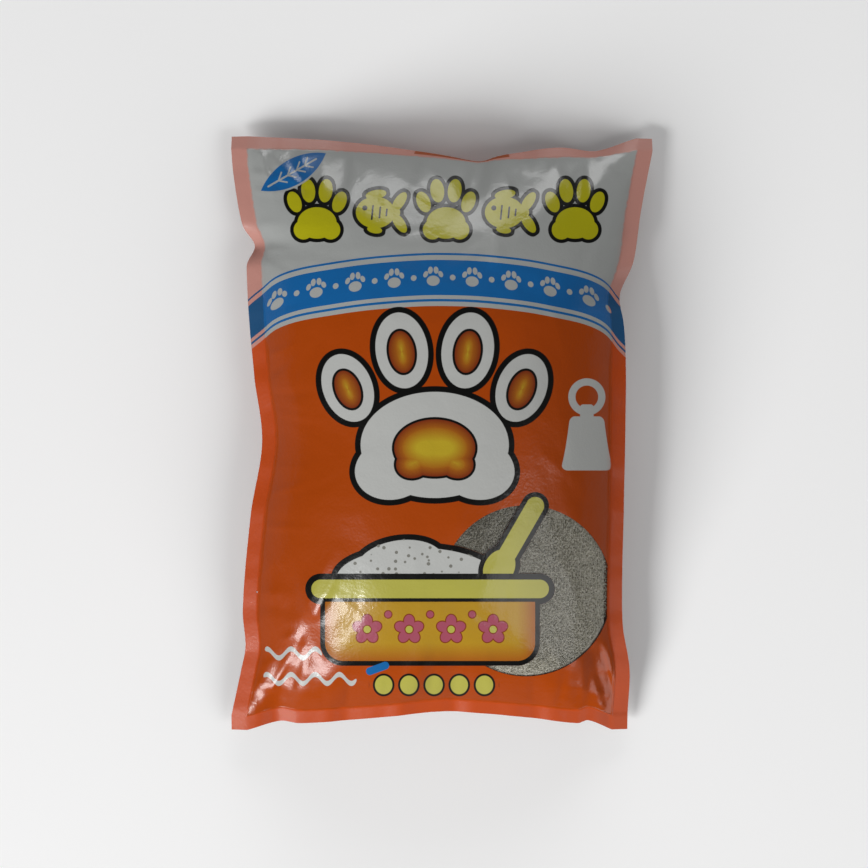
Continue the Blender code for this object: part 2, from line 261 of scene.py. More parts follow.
def fine_creases(s, t, x, y):
    """The small creases of the front film, and the puckers that the welds hold, as depths for each film."""
    front = np.zeros_like(x)
    for x0, y0, x1, y1, depth, reach in CREASES:
        ends = (x0 * MM, y0 * MM), (x1 * MM, y1 * MM)
        front += pressed(x, y, *ends, depth * MM, reach * MM)
    random = np.random.default_rng(PUCKER_SEED)
    for on_side, outer in ((True, -1.0), (True, 1.0), (False, -1.0), (False, 1.0)):
        place = -PUCKER_SPAN
        while place < PUCKER_SPAN:
            length = random.uniform(*PUCKER_LENGTH)
            swing = random.uniform(-PUCKER_SWING, PUCKER_SWING)
            depth = random.uniform(-PUCKER_DEPTH, PUCKER_DEPTH) * MM
            reach = random.uniform(*PUCKER_REACH) * MM
            inner = outer * (1 - length * (SIDE_PUCKER_STRETCH if on_side else 1.0))
            if on_side:
                start, end = (inner, place + swing), (outer, place)
                place += random.uniform(*SIDE_PUCKER_STEP)
            else:
                start, end = (place + swing, inner), (place, outer)
                place += random.uniform(*END_PUCKER_STEP)
            front += pressed(x, y, in_plan(*np.array(start)), in_plan(*np.array(end)), depth, reach)
    for _ in range(DENTS):
        middle = random.uniform(-DENT_SPAN, DENT_SPAN, 2)
        slant = random.uniform(0, math.pi)
        half = random.uniform(*DENT_HALF_LENGTH)
        step = np.array((math.cos(slant) * half * DENT_STRETCH, math.sin(slant) * half))
        slackness = 1 + SLACK_BESIDE_SEAMS * np.abs(middle).max() ** 3 + SLACK_IN_HEADER * max(0.0, middle[1])
        depth = random.uniform(-DENT_DEPTH, DENT_DEPTH) * slackness * MM
        reach = random.uniform(*DENT_REACH) * MM
        start = in_plan(*np.clip(middle - step, -1, 1))
        end = in_plan(*np.clip(middle + step, -1, 1))
        front += pressed(x, y, start, end, depth, reach)
    from_side = (1 - np.abs(s)) * HALF_ACROSS
    from_end = (1 - np.abs(t)) * HALF_ALONG
    front *= np.clip(np.minimum(from_side, from_end) / SMOOTH_BESIDE_SEAM, 0, 1)
    shared = waves(y, *SIDE_WAVES) * np.exp(-from_side / WAVE_REACH)
    shared += waves(x, *END_WAVES) * np.exp(-from_end / WAVE_REACH)
    return front + shared, shared


def spread(cells):
    """Places from -1 to 1 that lie closer together beside the seams."""
    even = np.linspace(-1, 1, cells + 1)
    return (1 - CELLS_CROWDING) * even + CELLS_CROWDING * np.sin(math.pi / 2 * even)


def strip_lines(places):
    """The places of all lines of points, the welded strip's too, and how far out in the strip each one is."""
    out = np.linspace(1, 0, STRIP_ROWS + 1)[:-1]
    at = np.concatenate((np.full(STRIP_ROWS, -1.0), places, np.full(STRIP_ROWS, 1.0)))
    reach = np.concatenate((-out, np.zeros(len(places)), out[::-1]))
    return at, reach


def film_surfaces(across, along, side, end):
    """The inside of both films as grids of points."""
    s, t = np.meshgrid(across, along, indexing="ij")
    side, end = np.meshgrid(side, end, indexing="ij")
    x, y, top, bottom = inner_faces(s, t)
    front_crease, back_crease = fine_creases(s, t, x, y)
    strip = strip_offset(s, t, np.sign(side), np.sign(end))
    strip *= np.stack((np.abs(side), np.abs(end), np.zeros_like(side)), -1)
    strip[..., 2] -= np.abs(side) * np.abs(strip_offset(s, t, np.sign(side), 0 * side)[..., 2])
    strip[..., 2] -= np.abs(end) * np.abs(strip_offset(s, t, 0 * end, np.sign(end))[..., 2])
    front = np.stack((x, y, top - front_crease), -1) + strip
    back = np.stack((x, y, np.maximum(bottom - back_crease, FILM_THICKNESS)), -1) + strip
    return front, back


def moved_out(grid, distance):
    """A grid of points moved along its upward normals."""
    normal = np.cross(np.gradient(grid, axis=0), np.gradient(grid, axis=1))
    return grid + normal / np.linalg.norm(normal, axis=-1, keepdims=True) * distance


def linear(code):
    """A colour written as sRGB hex, as the linear values that a shader takes."""
    parts = [int(code[k:k + 2], 16) / 255 for k in (1, 3, 5)]
    return tuple(v / 12.92 if v <= 0.04045 else ((v + 0.055) / 1.055) ** 2.4 for v in parts) + (1.0,)


def add(tree, kind, inputs=None, **settings):
    """A new node with its settings, and with each named socket set to a value or linked to an output."""
    node = tree.nodes.new(kind)
    for name, value in settings.items():
        setattr(node, name, value)
    for name, value in (inputs or {}).items():
        if isinstance(value, bpy.types.NodeSocket):
            tree.links.new(value, node.inputs[name])
        else:
            node.inputs[name].default_value = value
    return node


def shell_faces(rows, columns):
    """Faces of a closed shell of an upper and a lower grid of points, as upper, lower and rim."""
    count = rows * columns
    number = np.arange(count).reshape(rows, columns)
    upper = np.stack((number[:-1, :-1], number[1:, :-1], number[1:, 1:], number[:-1, 1:]), -1).reshape(-1, 4)
    edge = np.concatenate((number[:-1, 0], number[-1, :-1], number[:0:-1, -1], number[0, :0:-1]))
    after = np.roll(edge, -1)
    rim = np.stack((edge + count, after + count, after, edge), -1)
    return upper, upper[:, ::-1] + count, rim


def new_piece(name, points, faces):
    """A mesh object of points and faces in the scene."""
    mesh = bpy.data.meshes.new(name)
    mesh.from_pydata(points.tolist(), [], faces)
    piece = bpy.data.objects.new(name, mesh)
    bpy.context.scene.collection.objects.link(piece)
    return piece


def new_material(name):
    """A material with an empty node tree, and the tree."""
    material = bpy.data.materials.new(name)
    material.use_nodes = True
    material.node_tree.nodes.clear()
    return material, material.node_tree


def seen_at(mesh, name, values):
    """Stores a pair of numbers for every point of a mesh as a map that materials can read."""
    layer = mesh.uv_layers.new(name=name)
    corner_points = np.empty(len(mesh.loops), np.int64)
    mesh.loops.foreach_get("vertex_index", corner_points)
    layer.data.foreach_set("uv", np.ascontiguousarray(values[corner_points], np.float32).ravel())


across, side = strip_lines(spread(CELLS_ACROSS))
along, end = strip_lines(spread(CELLS_ALONG))
front, back = film_surfaces(across, along, side, end)
front_skin = moved_out(front, FILM_THICKNESS)
back_skin = moved_out(back, -FILM_THICKNESS)
back_skin[..., 2] = np.maximum(back_skin[..., 2], 0)

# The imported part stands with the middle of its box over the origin, so the same step is taken here
skin = np.concatenate((front_skin.reshape(-1, 3), back_skin.reshape(-1, 3)))
middle = np.array([*(skin.min(0) + skin.max(0))[:2] / 2, 0])
front_skin, back_skin, front, back = (grid - middle for grid in (front_skin, back_skin, front, back))

rows, columns = front_skin.shape[:2]
upper, lower, rim = shell_faces(rows, columns)

# Needle vents, one in the front film and one through the left weld, each with the burr that the needle left.
# Their places in plan, and their rings as (radius, height over the film), are in millimetres.
FRONT_VENT = (-76, -108.7)
WELD_VENT = (-122.7, -106.7)
VENT_RINGS = ((0.78, 0.0), (0.68, 0.20), (0.56, 0.22), (0.50, 0.0))
VENT_SIDES = 12
VENT_DEPTH = 0.45 * MM

points = np.concatenate((front_skin.reshape(-1, 3), back_skin.reshape(-1, 3)))
new_points, new_faces, new_owners = [], [], []


def nearest_cell(cells, spot):
    """The cell of a film whose middle lies nearest to a plan place in millimetres."""
    middles = points[cells].mean(1)[:, :2]
    return int(np.hypot(middles[:, 0] - spot[0] * MM, middles[:, 1] - spot[1] * MM).argmin())


def ring_round(middle_point, axis, up, radius, lift):
    """Adds a ring of points round a vent and gives their numbers."""
    start = len(points) + len(new_points)
    beside_axis = np.cross(up, axis)
    for n in range(VENT_SIDES):
        angle = 2 * math.pi * n / VENT_SIDES
        out = (math.cos(angle) * axis + math.sin(angle) * beside_axis) * radius * MM
        new_points.append(middle_point + out + up * lift * MM)
    return [start + n for n in range(VENT_SIDES)]


def open_vent(cell):
    """Cuts a vent into one cell that faces along its own normal, and gives the vent's inmost ring."""
    c00, c10, c11, c01 = cell
    middle_point = points[cell].mean(0)
    up = np.cross(points[c11] - points[c00], points[c01] - points[c10])
    up /= np.linalg.norm(up)
    axis = points[c10] - points[c00]
    axis -= up * axis.dot(up)
    axis /= np.linalg.norm(axis)
    rings = [ring_round(middle_point, axis, up, radius, lift) for radius, lift in VENT_RINGS]
    around = (c11, c01, c00, c10)
    per_corner = VENT_SIDES // 4
    for k, corner in enumerate(around):
        for n in range(per_corner * k, per_corner * (k + 1)):
            new_faces.append((corner, rings[0][(n + 1) % VENT_SIDES], rings[0][n]))
        new_faces.append((corner, around[(k + 1) % 4], rings[0][per_corner * (k + 1) % VENT_SIDES]))
    for outer, within in zip(rings, rings[1:]):
        for n in range(VENT_SIDES):
            m = (n + 1) % VENT_SIDES
            new_faces.append((outer[n], outer[m], within[m], within[n]))
    new_owners.extend([c00] * VENT_SIDES * len(rings))
    return rings[-1], middle_point, axis, up


front_cell = nearest_cell(upper, FRONT_VENT)
ring, middle_point, axis, up = open_vent(upper[front_cell])
tip = ring_round(middle_point, axis, up, VENT_RINGS[-1][0], -VENT_DEPTH / MM)
new_owners.extend([upper[front_cell][0]] * VENT_SIDES)
for n in range(VENT_SIDES):
    m = (n + 1) % VENT_SIDES
    new_faces.append((ring[n], ring[m], tip[m], tip[n]))
weld_cell = nearest_cell(upper, WELD_VENT)
top_ring = open_vent(upper[weld_cell])[0]
low_ring = open_vent(lower[weld_cell])[0]
ring_points = np.array(new_points)
top_places, low_places = (ring_points[np.array(ring) - len(points)] for ring in (top_ring, low_ring))
nearest = np.linalg.norm(top_places[:, None] - low_places[None], axis=-1).argmin(1)
paired = [low_ring[k] for k in nearest]
for n in range(VENT_SIDES):
    m = (n + 1) % VENT_SIDES
    new_faces.append((top_ring[n], top_ring[m], paired[m], paired[n]))
upper = np.delete(upper, (front_cell, weld_cell), 0)
lower = np.delete(lower, weld_cell, 0)

SHARP_FROM = math.radians(60)
all_points = np.concatenate((points, np.array(new_points)))
faces = np.concatenate((upper, lower, rim)).tolist() + [[int(k) for k in face] for face in new_faces]
film = new_piece("film_pouch", all_points, faces)
film.data.shade_smooth()
film.data.set_sharp_from_angle(angle=SHARP_FROM)

# Where the print lies, in millimetres at the level of the seams, and how far out in the weld each point is.
# The print is placed as it shows from above, where the bulge is nearer to the eye and spreads it by up to 3%.
SEAM_LEVEL = 0.03
EYE_HEIGHT = 1.8
enlarged = (EYE_HEIGHT - SEAM_LEVEL) / (EYE_HEIGHT - all_points[:, 2:])
print_place = all_points[:, :2] / MM * enlarged
side_grid, end_grid = np.meshgrid(side, end, indexing="ij")
in_weld = np.maximum(np.abs(side_grid), np.abs(end_grid)).ravel()
from_side = (1 - np.abs(across))[:, None] * HALF_ACROSS
from_end = (1 - np.abs(along))[None, :] * HALF_ALONG
seam_gap = np.minimum(from_side, from_end).ravel()
weld_reach = np.where(in_weld > 0, in_weld * END_SEAL, -seam_gap) / MM
on_front = np.repeat((1.0, 0.0), rows * columns)
weld_facts = np.stack((np.tile(weld_reach, 2), on_front), -1)
weld_facts = np.concatenate((weld_facts, weld_facts[np.array(new_owners, int)]))
seen_at(film.data, "Print", print_place)
seen_at(film.data, "Weld", weld_facts)

# Printed polyethylene film: thin, smooth and glossy, so every crease shows as a soft bright line. The front
# is printed, its round window is left clear, and over the welds the orange back sheet shows through the ink.
ORANGE_INK = linear("#a44000")
WHITE_INK = linear("#a1a3a1")
PICTURE_WHITE = linear("#b4b5b2")
BLUE_INK = linear("#125e9c")
BLACK_INK = linear("#060605")
HEADER_YELLOW = linear("#aca610")
YELLOW_INK = linear("#aaa548")
GOLD_INK = linear("#b59c26")
BROWN_INK = linear("#7a3110")
PAD_ORANGE = linear("#9c5a14")
PINK_INK = linear("#9c4a5c")
CRUMB_INK = linear("#77766f")

material, tree = new_material("printed_polyethylene_film")
place = add(tree, "ShaderNodeUVMap", uv_map="Print").outputs["UV"]


def seen_from(place, centre, turn):
    """Places as a printed shape sees them from its own middle, with its own slant."""
    return add(
        tree, "ShaderNodeMapping",
        {"Vector": place, "Location": (*centre, 0), "Rotation": (0, 0, math.radians(turn))},
        vector_type="TEXTURE",
    ).outputs[0]


def oval(place, centre, half, turn=0):
    """Distance in millimetres from the edge of a printed oval, less than zero inside it."""
    own = seen_from(place, centre, turn)
    once = add(tree, "ShaderNodeVectorMath", {0: own, 1: (1 / half[0], 1 / half[1], 1)}, operation="MULTIPLY")
    twice = add(
        tree, "ShaderNodeVectorMath", {0: own, 1: (half[0] ** -2, half[1] ** -2, 1)}, operation="MULTIPLY"
    )
    far = add(tree, "ShaderNodeVectorMath", {0: once.outputs[0]}, operation="LENGTH").outputs["Value"]
    steep = add(tree, "ShaderNodeVectorMath", {0: twice.outputs[0]}, operation="LENGTH").outputs["Value"]
    beyond = add(tree, "ShaderNodeMath", {0: far, 1: 1.0}, operation="SUBTRACT").outputs[0]
    scaled = add(tree, "ShaderNodeMath", {0: far, 1: beyond}, operation="MULTIPLY").outputs[0]
    return add(tree, "ShaderNodeMath", {0: scaled, 1: steep}, operation="DIVIDE").outputs[0]


def bar(place, centre, half, radius, turn=0):
    """Distance in millimetres from the edge of a printed bar with round corners, less than zero inside it."""
    own = seen_from(place, centre, turn)
    positive = add(tree, "ShaderNodeVectorMath", {0: own}, operation="ABSOLUTE").outputs[0]
    flat = (half[0] - radius, half[1] - radius, 1)
    past = add(tree, "ShaderNodeVectorMath", {0: positive, 1: flat}, operation="SUBTRACT").outputs[0]
    outside = add(tree, "ShaderNodeVectorMath", {0: past, 1: (0, 0, 0)}, operation="MAXIMUM").outputs[0]
    far = add(tree, "ShaderNodeVectorMath", {0: outside}, operation="LENGTH").outputs["Value"]
    return add(tree, "ShaderNodeMath", {0: far, 1: radius}, operation="SUBTRACT").outputs[0]


def joined(*distances):
    """Distance from several printed shapes taken as one."""
    total = distances[0]
    for other in distances[1:]:
        total = add(tree, "ShaderNodeMath", {0: total, 1: other}, operation="MINIMUM").outputs[0]
    return total


def kept_to(distance, limit):
    """Distance from the part of a printed shape that lies inside a limit."""
    return add(tree, "ShaderNodeMath", {0: distance, 1: limit}, operation="MAXIMUM").outputs[0]


PRINT_BLUR = 0.15


def inside(distance, wider=0):
    """1 inside a printed shape and 0 outside it, with an edge as crisp as the print's."""
    near, far = wider - PRINT_BLUR, wider + PRINT_BLUR
    return add(
        tree, "ShaderNodeMapRange",
        {"Value": distance, "From Min": near, "From Max": far, "To Min": 1.0, "To Max": 0.0},
    ).outputs[0]


def inked(under, colour, cover):
    """A colour field with another colour printed over it where the cover is 1."""
    return add(
        tree, "ShaderNodeMix", {"Factor": cover, 6: under, 7: colour}, data_type="RGBA"
    ).outputs[2]


def outlined(under, shape, ink, outline, width):
    """A colour field with a shape printed over it in one ink, and an outline round it in another."""
    return inked(inked(under, outline, inside(shape, width)), ink, inside(shape))


# The band of stripes across the bag, bowed upwards. The curve is the upper edge of the top thin stripe.
BAND_CURVE = (
    (-132, 86), (-121, 96), (-105, 107), (-73, 114), (-25, 119.3), (7, 120), (39, 118), (71, 113.3),
    (103, 104.7), (119, 89), (128, 80),
)
CURVE_ACROSS = (-150.0, 150.0)
CURVE_UP = (50.0, 150.0)
CURVE_END = 0.05
print_x, print_y = add(tree, "ShaderNodeSeparateXYZ", {0: place}).outputs[:2]
share = add(
    tree, "ShaderNodeMapRange", {"Value": print_x, "From Min": CURVE_ACROSS[0], "From Max": CURVE_ACROSS[1]}
).outputs[0]
bow = add(tree, "ShaderNodeFloatCurve", {"Value": share})
curve = bow.mapping.curves[0]
curve.points[0].location = (0, CURVE_END)
curve.points[1].location = (1, CURVE_END)
for x_mm, y_mm in BAND_CURVE:
    curve.points.new(np.interp(x_mm, CURVE_ACROSS, (0, 1)), np.interp(y_mm, CURVE_UP, (0, 1)))
bow.mapping.update()
bow_mm = add(
    tree, "ShaderNodeMapRange", {"Value": bow.outputs[0], "To Min": CURVE_UP[0], "To Max": CURVE_UP[1]}
).outputs[0]
below = add(tree, "ShaderNodeMath", {0: bow_mm, 1: print_y}, operation="SUBTRACT").outputs[0]

# Each stripe's start in millimetres below the curve, and its ink. The last is the orange field.
RAMP_REACH = (-10.0, 50.0)
stripe_share = add(
    tree, "ShaderNodeMapRange", {"Value": below, "From Min": RAMP_REACH[0], "From Max": RAMP_REACH[1]}
).outputs[0]
STRIPES = (
    (0.0, BLUE_INK), (1.3, WHITE_INK), (4.7, BLUE_INK), (28.0, WHITE_INK), (30.7, BLUE_INK),
    (32.3, WHITE_INK), (35.3, ORANGE_INK),
)
ramp = add(tree, "ShaderNodeValToRGB", {"Fac": stripe_share})
ramp.color_ramp.interpolation = "CONSTANT"
ramp.color_ramp.elements[0].position = 0
ramp.color_ramp.elements[0].color = WHITE_INK
ramp.color_ramp.elements.remove(ramp.color_ramp.elements[1])
for start, colour in STRIPES:
    ramp.color_ramp.elements.new(np.interp(start, RAMP_REACH, (0, 1))).color = colour
fields = ramp.outputs[0]


def in_pairs(place, middle, *ovals):
    """Ovals in pairs beside a middle line, each pair as its distance from it, y, half size and turn."""
    return [
        oval(place, (middle + side * far, y), half, -side * turn)
        for far, y, half, turn in ovals for side in (-1, 1)
    ]


def repeated(low, high, up):
    """Places for a motif that repeats across the bag, between two x values of one copy of it."""
    wrapped = add(tree, "ShaderNodeMath", {0: print_x, 1: high, 2: low}, operation="WRAP").outputs[0]
    return add(tree, "ShaderNodeCombineXYZ", {0: wrapped, 1: up}).outputs[0]


# A row of small white paw prints and dots in the blue band
in_band = repeated(-13.0, 13.0, below)
small_paw = joined(
    oval(in_band, (-6, 18.6), (4.3, 3.4)),
    *in_pairs(in_band, -6, (5, 14.2, (1.5, 2.2), 25), (1.9, 11.6, (1.6, 2.4), 8)),
    oval(in_band, (7, 16.4), (1.9, 1.9)),
)
small_paw = kept_to(small_paw, bar(place, (0, 100), (117, 30), 1))
fields = inked(fields, WHITE_INK, inside(small_paw))

# The header: a row of yellow fish and paws with heavy black outlines
in_header = repeated(-40.4, 45.6, print_y)
header_paw = joined(
    oval(in_header, (2.6, 140), (13, 10.5)),
    *in_pairs(
        in_header, 2.6, (9, 135.5, (6.5, 6.5), 0), (15, 154, (4.4, 7.2), 22), (5.8, 161.5, (4.6, 7.8), 7),
    ),
)
beside = repeated(2.6, 88.6, print_y)
header_fish = joined(
    oval(beside, (41.5, 147), (13, 10.5)),
    oval(beside, (57.5, 154), (7.5, 3.4), 56),
    oval(beside, (57.5, 140), (7.5, 3.4), -56),
    bar(beside, (53, 147), (5, 3), 2.5),
    oval(beside, (42, 159), (7, 3.0), 10),
    oval(beside, (41, 135.5), (5, 2.4), -10),
)
fish_marks = joined(
    oval(beside, (34.5, 150), (1.7, 1.7)),
    bar(beside, (39.5, 147), (0.6, 5), 0.5, -6),
    bar(beside, (44.5, 147), (0.6, 4), 0.5, -6),
    bar(beside, (49, 147), (0.6, 2.6), 0.5, -6),
)
fish_limit = bar(place, (2.6, 150), (80, 30), 1)
header = joined(
    kept_to(header_paw, bar(place, (2.6, 150), (116, 30), 1)),
    kept_to(header_fish, fish_limit),
)
HEADER_OUTLINE = 2.4
fields = outlined(fields, header, HEADER_YELLOW, BLACK_INK, HEADER_OUTLINE)
fields = inked(fields, BLACK_INK, inside(kept_to(fish_marks, fish_limit)))

# A blue leaf over the header's first figure, where two large circles overlap, with a white rib and side veins
LEAF_MIDDLE = (-99, 174)
LEAF_TURN = 30
LEAF_HALF_LENGTH = 25
LEAF_HALF_WIDTH = 8.6
LEAF_OUTLINE = 1.2
leaf_radius = (LEAF_HALF_LENGTH ** 2 + LEAF_HALF_WIDTH ** 2) / (2 * LEAF_HALF_WIDTH)
in_leaf = seen_from(place, LEAF_MIDDLE, LEAF_TURN)
leaf = kept_to(
    oval(in_leaf, (0, LEAF_HALF_WIDTH - leaf_radius), (leaf_radius, leaf_radius)),
    oval(in_leaf, (0, leaf_radius - LEAF_HALF_WIDTH), (leaf_radius, leaf_radius)),
)
veins = joined(
    bar(in_leaf, (-1, 0), (19, 0.6), 0.5),
    *(bar(in_leaf, (x, up * 2.2), (2.9, 0.5), 0.4, up * 40) for x in (-9, -2, 5, 11) for up in (-1, 1)),
)
fields = outlined(fields, leaf, BLUE_INK, WHITE_INK, LEAF_OUTLINE)
fields = inked(fields, WHITE_INK, inside(kept_to(veins, leaf)))

# The main picture: a large white paw with orange pads, over a gold litter tray with a heap of litter and a
# yellow scoop
paw = joined(
    oval(place, (-5, -8), (50, 36)),
    *in_pairs(place, -5, (28, -24, (26, 21), 12), (58, 30, (17, 24), 22), (22, 55, (18, 26), 8)),
)
heap = joined(
    oval(place, (-17, -97), (54, 21)),
    oval(place, (-28, -88), (30, 17), 8),
)
rim_bar = bar(place, (-8, -104), (80, 7), 7)
tray = joined(bar(place, (-8, -127), (70, 25), 12), rim_bar)
scoop = joined(
    bar(place, (52, -66), (26, 6), 6, 60),
    oval(place, (38, -90), (13, 10), 60),
)
# In millimetres: the outlines, how far in from them the fills stop, and where the shaded edges begin and end
OUTLINE = 3.2
THIN_OUTLINE = 1.6
WHITE_INSET = 0.6
RIM_INSET = 0.8
PAD_HEART = (-15.0, -5.0)
PAD_EDGE = (-6.0, -0.5)
TRAY_EDGE = (-21.0, -1.0)
CRUMB_PITCH = 5.263
CRUMB_RADIUS = 1.2
picture = joined(paw, heap, tray, scoop)
fields = inked(fields, BLACK_INK, inside(picture, OUTLINE))
fields = inked(fields, PICTURE_WHITE, inside(paw, -WHITE_INSET))
pads = joined(
    oval(place, (-5, -10), (27, 19)),
    *in_pairs(place, -5, (14, -20, (12, 10), 20), (58, 29, (8, 13), 22), (22, 54, (8.5, 14), 8)),
)
pad_heart = add(
    tree, "ShaderNodeMapRange", {"Value": pads, "From Min": PAD_HEART[0], "From Max": PAD_HEART[1]}
).outputs[0]
pad_edge = add(
    tree, "ShaderNodeMapRange", {"Value": pads, "From Min": PAD_EDGE[0], "From Max": PAD_EDGE[1]}
).outputs[0]
pad_ink = inked(inked(GOLD_INK, PAD_ORANGE, pad_heart), BROWN_INK, pad_edge)
fields = outlined(fields, pads, pad_ink, BLACK_INK, THIN_OUTLINE)
fields = inked(fields, PICTURE_WHITE, inside(heap, -WHITE_INSET))
crumbs = add(
    tree, "ShaderNodeTexVoronoi", {"Vector": place, "Scale": 1 / CRUMB_PITCH}
).outputs["Distance"]
crumbs = add(
    tree, "ShaderNodeMath", {0: crumbs, 1: CRUMB_PITCH, 2: -CRUMB_RADIUS}, operation="MULTIPLY_ADD"
).outputs[0]
fields = inked(fields, CRUMB_INK, inside(kept_to(crumbs, heap)))
fields = outlined(fields, scoop, YELLOW_INK, BLACK_INK, OUTLINE)
tray_edge = add(
    tree, "ShaderNodeMapRange", {"Value": tray, "From Min": TRAY_EDGE[0], "From Max": TRAY_EDGE[1]}
).outputs[0]
fields = outlined(fields, tray, inked(GOLD_INK, PAD_ORANGE, tray_edge), BLACK_INK, OUTLINE)
fields = inked(fields, BLACK_INK, inside(rim_bar, THIN_OUTLINE))
fields = inked(fields, YELLOW_INK, inside(rim_bar, -RIM_INSET))
FLOWER = (6, -131)
PETAL_RING = 5.6
FLOWER_OUTLINE = 0.7
in_tray = repeated(-8.0, 20.0, print_y)
petals = []
for angle in range(0, 360, 72):
    petal_x = FLOWER[0] + PETAL_RING * math.sin(math.radians(angle))
    petal_y = FLOWER[1] + PETAL_RING * math.cos(math.radians(angle))
    petals.append(oval(in_tray, (petal_x, petal_y), (3.4, 4.2), -angle))
buds = (oval(in_tray, (x, -121), (2.2, 2.2)) for x in (-8, 20))
flower_row = bar(place, (-8, -131), (52, 14), 1)
flowers = kept_to(joined(*petals, *buds), flower_row)
flower_eye = kept_to(oval(in_tray, FLOWER, (2.4, 2.4)), flower_row)
for shape, ink in ((flowers, PINK_INK), (flower_eye, YELLOW_INK)):
    fields = outlined(fields, shape, ink, BROWN_INK, FLOWER_OUTLINE)

# A white weight at the right, two white waves at the lower left, and a small row of yellow discs at the foot,
# beside a short blue bar
WEIGHT_X = 96.5
RING_HALF_THICKNESS = 2.4
TAPER_PER_MM = 0.012
TAPER_START = 1.1
ring = oval(place, (WEIGHT_X, 24), (10, 10))
ring = add(tree, "ShaderNodeMath", {0: ring}, operation="ABSOLUTE").outputs[0]
ring = add(tree, "ShaderNodeMath", {0: ring, 1: RING_HALF_THICKNESS}, operation="SUBTRACT").outputs[0]
taper = add(
    tree, "ShaderNodeMath", {0: print_y, 1: TAPER_PER_MM, 2: TAPER_START}, operation="MULTIPLY_ADD"
).outputs[0]
from_middle = add(tree, "ShaderNodeMath", {0: print_x, 1: WEIGHT_X}, operation="SUBTRACT").outputs[0]
tapered_x = add(tree, "ShaderNodeMath", {0: from_middle, 1: taper}, operation="MULTIPLY").outputs[0]
tapered = add(tree, "ShaderNodeCombineXYZ", {0: tapered_x, 1: print_y}).outputs[0]
weight = joined(ring, bar(place, (WEIGHT_X, 14), (4.5, 5), 2), bar(tapered, (0, -7), (14, 18), 4))
fields = inked(fields, PICTURE_WHITE, inside(weight))
RIPPLE_TURN_PER_MM = 0.39
RIPPLE_HEIGHT = 3.0
DISC_OUTLINE = 1.4
turned = add(tree, "ShaderNodeMath", {0: print_x, 1: RIPPLE_TURN_PER_MM}, operation="MULTIPLY").outputs[0]
wave = add(tree, "ShaderNodeMath", {0: turned}, operation="SINE").outputs[0]
lift = add(
    tree, "ShaderNodeMath", {0: wave, 1: RIPPLE_HEIGHT, 2: print_y}, operation="MULTIPLY_ADD"
).outputs[0]
rippled = add(tree, "ShaderNodeCombineXYZ", {0: print_x, 1: lift}).outputs[0]
ripples = joined(
    bar(rippled, (-99, -147), (19, 1.7), 1.6),
    bar(rippled, (-88, -164), (31, 1.7), 1.6),
)
fields = inked(fields, PICTURE_WHITE, inside(ripples))
in_foot = repeated(-13.7, 3.1, print_y)
discs = kept_to(oval(in_foot, (-5.3, -168), (5.8, 6.2)), bar(place, (-5.3, -168), (42, 12), 1))
fields = outlined(fields, discs, YELLOW_INK, BLACK_INK, DISC_OUTLINE)
fields = inked(fields, BLUE_INK, inside(bar(place, (-43, -157), (8, 2.6), 2.5, 20)))

# The back sheet is plain orange, and so is what shows through the ink over the welds. The line where that
# starts wanders a little, as the weld's own edge does. Lengths are in millimetres out from the seam.
UNEVEN_WIDTH = 4.545
UNEVEN_BY = 2.6
WELD_STARTS = (0.7, 1.9)
WELD_TINT = (1.46, 0.67, 0.57, 1.0)
WELD_ORANGE = linear("#b84300")
# The folded part of the top weld: the back sheet's orange with painted shade, darker than the weld's own
# orange
PAINTED_SHADE_FOLD_ORANGE = linear("#9a4a22")
FOLDED_FROM = 4.2
weld_map = add(tree, "ShaderNodeUVMap", uv_map="Weld").outputs["UV"]
past_seam, front_share = add(tree, "ShaderNodeSeparateXYZ", {0: weld_map}).outputs[:2]
is_front = add(tree, "ShaderNodeMath", {0: front_share, 1: 0.5}, operation="GREATER_THAN").outputs[0]
unevenness = add(
    tree, "ShaderNodeTexNoise", {"Vector": place, "Scale": 1 / UNEVEN_WIDTH, "Detail": 3.0}
).outputs[0]
seam_line = add(
    tree, "ShaderNodeMath", {0: unevenness, 1: UNEVEN_BY, 2: past_seam}, operation="MULTIPLY_ADD"
).outputs[0]
over_weld = add(
    tree, "ShaderNodeMapRange",
    {"Value": seam_line, "From Min": WELD_STARTS[0], "From Max": WELD_STARTS[1]},
).outputs[0]
pale_weld = add(
    tree, "ShaderNodeMath", {0: over_weld, 1: inside(below, STRIPES[-1][0])}, operation="MULTIPLY"
).outputs[0]
tinted = add(
    tree, "ShaderNodeMix",
    {"Factor": pale_weld, 6: fields, 7: WELD_TINT},
    data_type="RGBA", blend_type="MULTIPLY",
).outputs[2]
orange_weld = add(tree, "ShaderNodeMath", {0: over_weld, 1: pale_weld}, operation="SUBTRACT").outputs[0]
tinted = inked(tinted, WELD_ORANGE, orange_weld)

# In the middle of the top the weld is folded down, and its outer half shows the back sheet's orange, darkened
# there as painted shade
painted_shade_fold = kept_to(
    bar(place, (13, 176), (32, 14), 6),
    add(tree, "ShaderNodeMath", {0: FOLDED_FROM, 1: past_seam}, operation="SUBTRACT").outputs[0],
)
tinted = inked(tinted, PAINTED_SHADE_FOLD_ORANGE, inside(painted_shade_fold))
print_colour = inked(WELD_ORANGE, tinted, is_front)

# The clear window: a disc at the lower right, less what the picture covers, and cut off at the seam
WINDOW_STOPS = (-0.6, -0.2)
window_edge = oval(place, (56, -105.3), (57, 57))
off_picture = add(tree, "ShaderNodeMath", {0: OUTLINE, 1: picture}, operation="SUBTRACT").outputs[0]
clear = inside(kept_to(window_edge, off_picture))
off_weld = add(
    tree, "ShaderNodeMapRange",
    {
        "Value": past_seam, "From Min": WINDOW_STOPS[0], "From Max": WINDOW_STOPS[1],
        "To Min": 1.0, "To Max": 0.0,
    },
).outputs[0]
clear = add(tree, "ShaderNodeMath", {0: clear, 1: off_weld}, operation="MULTIPLY").outputs[0]
clear = add(tree, "ShaderNodeMath", {0: clear, 1: is_front}, operation="MULTIPLY").outputs[0]

